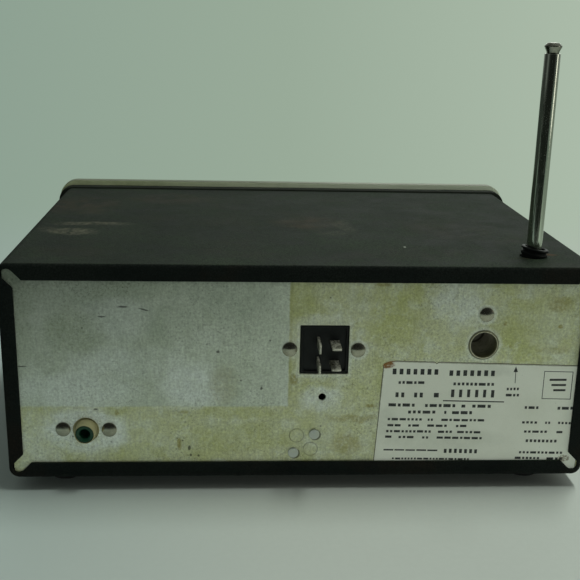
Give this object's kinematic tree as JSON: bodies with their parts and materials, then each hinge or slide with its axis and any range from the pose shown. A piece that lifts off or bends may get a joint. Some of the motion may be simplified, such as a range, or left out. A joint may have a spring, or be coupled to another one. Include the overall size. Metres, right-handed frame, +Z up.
{
  "type": "police scanner radio",
  "caption": "Tabletop scanner receiver: vinyl-clad steel case, slotted speaker, channel buttons, lamp window, two knobs, telescopic antenna and rear connectors.",
  "frame": {"origin": "bottom centre of the whole object, on the table under its feet", "axes": "+Z up, front panel faces -Y, +X to the right seen from the front"},
  "size_m": [0.2526, 0.2144, 0.1833],
  "materials": {
    "black_vinyl": "satin, fine leather grain",
    "rear_aluminium": "dull, stained",
    "aluminium": "brushed",
    "black_plastic": "satin moulded",
    "satin_trim": "satin",
    "plated_steel": "plated",
    "rivet_steel": "bright",
    "speaker_card": "matt",
    "circuit_board": "matt",
    "red_window": "clear red, polished",
    "button_ivory": "semi-gloss moulded",
    "core_iron": "lacquered laminations",
    "winding_tape": "matt tape",
    "tinned_shell": "tarnished tin plate",
    "green_insulator": "satin",
    "nylon": "satin",
    "chrome": "polished, lightly pitted",
    "foot_rubber": "matt",
    "label_paper": "aged, satin"
  },
  "bodies": {
    "cabinet": {"cabinet_sleeve": "black_vinyl", "rear_panel": "rear_aluminium", "chassis_tray": "aluminium", "faceplate": "aluminium", "volume_pot": "aluminium", "squelch_pot": "aluminium", "filter_capacitor": "aluminium", "front_bezel": "black_plastic", "speaker_grille": "black_plastic", "power_socket_body": "black_plastic", "antenna_jack_core": "black_plastic", "antenna_grommet": "black_plastic", "crystal_socket": "black_plastic", "trim_ring": "satin_trim", "speaker_frame": "plated_steel", "antenna_jack_shell": "plated_steel", "power_blade_1": "plated_steel", "power_blade_2": "plated_steel", "power_blade_3": "plated_steel", "power_blade_4": "plated_steel", "rivet_power_1": "rivet_steel", "rivet_power_2": "rivet_steel", "rivet_phono_1": "rivet_steel", "rivet_phono_2": "rivet_steel", "rivet_jack": "rivet_steel", "rivet_chassis_1": "rivet_steel", "rivet_chassis_2": "rivet_steel", "speaker_cone": "speaker_card", "main_board": "circuit_board", "channel_board": "circuit_board", "lamp_window": "red_window", "transformer_core": "core_iron", "transformer_winding": "winding_tape", "phono_jack_shell": "tinned_shell", "phono_jack_insulator": "green_insulator", "antenna_base_socket": "nylon", "antenna_tube_1": "chrome", "foot_1": "foot_rubber", "foot_2": "foot_rubber", "foot_3": "foot_rubber", "foot_4": "foot_rubber", "rating_label": "label_paper"},
    "channel_button_1": {"channel_button_1": "button_ivory"},
    "channel_button_2": {"channel_button_2": "button_ivory"},
    "channel_button_3": {"channel_button_3": "button_ivory"},
    "channel_button_4": {"channel_button_4": "button_ivory"},
    "channel_button_5": {"channel_button_5": "button_ivory"},
    "channel_button_6": {"channel_button_6": "button_ivory"},
    "channel_button_7": {"channel_button_7": "button_ivory"},
    "channel_button_8": {"channel_button_8": "button_ivory"},
    "scan_button": {"scan_button": "button_ivory"},
    "manual_button": {"manual_button": "button_ivory"},
    "volume_knob": {"volume_knob": "black_plastic", "volume_shaft": "plated_steel"},
    "squelch_knob": {"squelch_knob": "black_plastic", "squelch_shaft": "plated_steel"},
    "antenna_tube_2": {"antenna_tube_2": "chrome"},
    "antenna_tube_3": {"antenna_tube_3": "chrome"},
    "antenna_rod": {"antenna_rod": "chrome", "antenna_tip": "chrome"}
  },
  "joints": [
    {"name": "channel_button_1_press", "type": "slide", "parent": "cabinet", "child": "channel_button_1", "axis": [0, 1, 0], "range_m": [0, 0.0025]},
    {"name": "channel_button_2_press", "type": "slide", "parent": "cabinet", "child": "channel_button_2", "axis": [0, 1, 0], "range_m": [0, 0.0025]},
    {"name": "channel_button_3_press", "type": "slide", "parent": "cabinet", "child": "channel_button_3", "axis": [0, 1, 0], "range_m": [0, 0.0025]},
    {"name": "channel_button_4_press", "type": "slide", "parent": "cabinet", "child": "channel_button_4", "axis": [0, 1, 0], "range_m": [0, 0.0025]},
    {"name": "channel_button_5_press", "type": "slide", "parent": "cabinet", "child": "channel_button_5", "axis": [0, 1, 0], "range_m": [0, 0.0025]},
    {"name": "channel_button_6_press", "type": "slide", "parent": "cabinet", "child": "channel_button_6", "axis": [0, 1, 0], "range_m": [0, 0.0025]},
    {"name": "channel_button_7_press", "type": "slide", "parent": "cabinet", "child": "channel_button_7", "axis": [0, 1, 0], "range_m": [0, 0.0025]},
    {"name": "channel_button_8_press", "type": "slide", "parent": "cabinet", "child": "channel_button_8", "axis": [0, 1, 0], "range_m": [0, 0.0025]},
    {"name": "scan_button_press", "type": "slide", "parent": "cabinet", "child": "scan_button", "axis": [0, 1, 0], "range_m": [0, 0.0025]},
    {"name": "manual_button_press", "type": "slide", "parent": "cabinet", "child": "manual_button", "axis": [0, 1, 0], "range_m": [0, 0.0025]},
    {"name": "volume_turn", "type": "hinge", "parent": "cabinet", "child": "volume_knob", "pos_m": [0.062, -0.1, 0.032], "axis": [0, 1, 0], "range_deg": [-150, 150]},
    {"name": "squelch_turn", "type": "hinge", "parent": "cabinet", "child": "squelch_knob", "pos_m": [0.096, -0.1, 0.032], "axis": [0, 1, 0], "range_deg": [-150, 150]},
    {"name": "antenna_slide_1", "type": "slide", "parent": "cabinet", "child": "antenna_tube_2", "axis": [0, 0, 1], "range_m": [0, 0.105]},
    {"name": "antenna_slide_2", "type": "slide", "parent": "antenna_tube_2", "child": "antenna_tube_3", "axis": [0, 0, 1], "range_m": [0, 0.105]},
    {"name": "antenna_slide_3", "type": "slide", "parent": "antenna_tube_3", "child": "antenna_rod", "axis": [0, 0, 1], "range_m": [0, 0.105]}
  ]
}
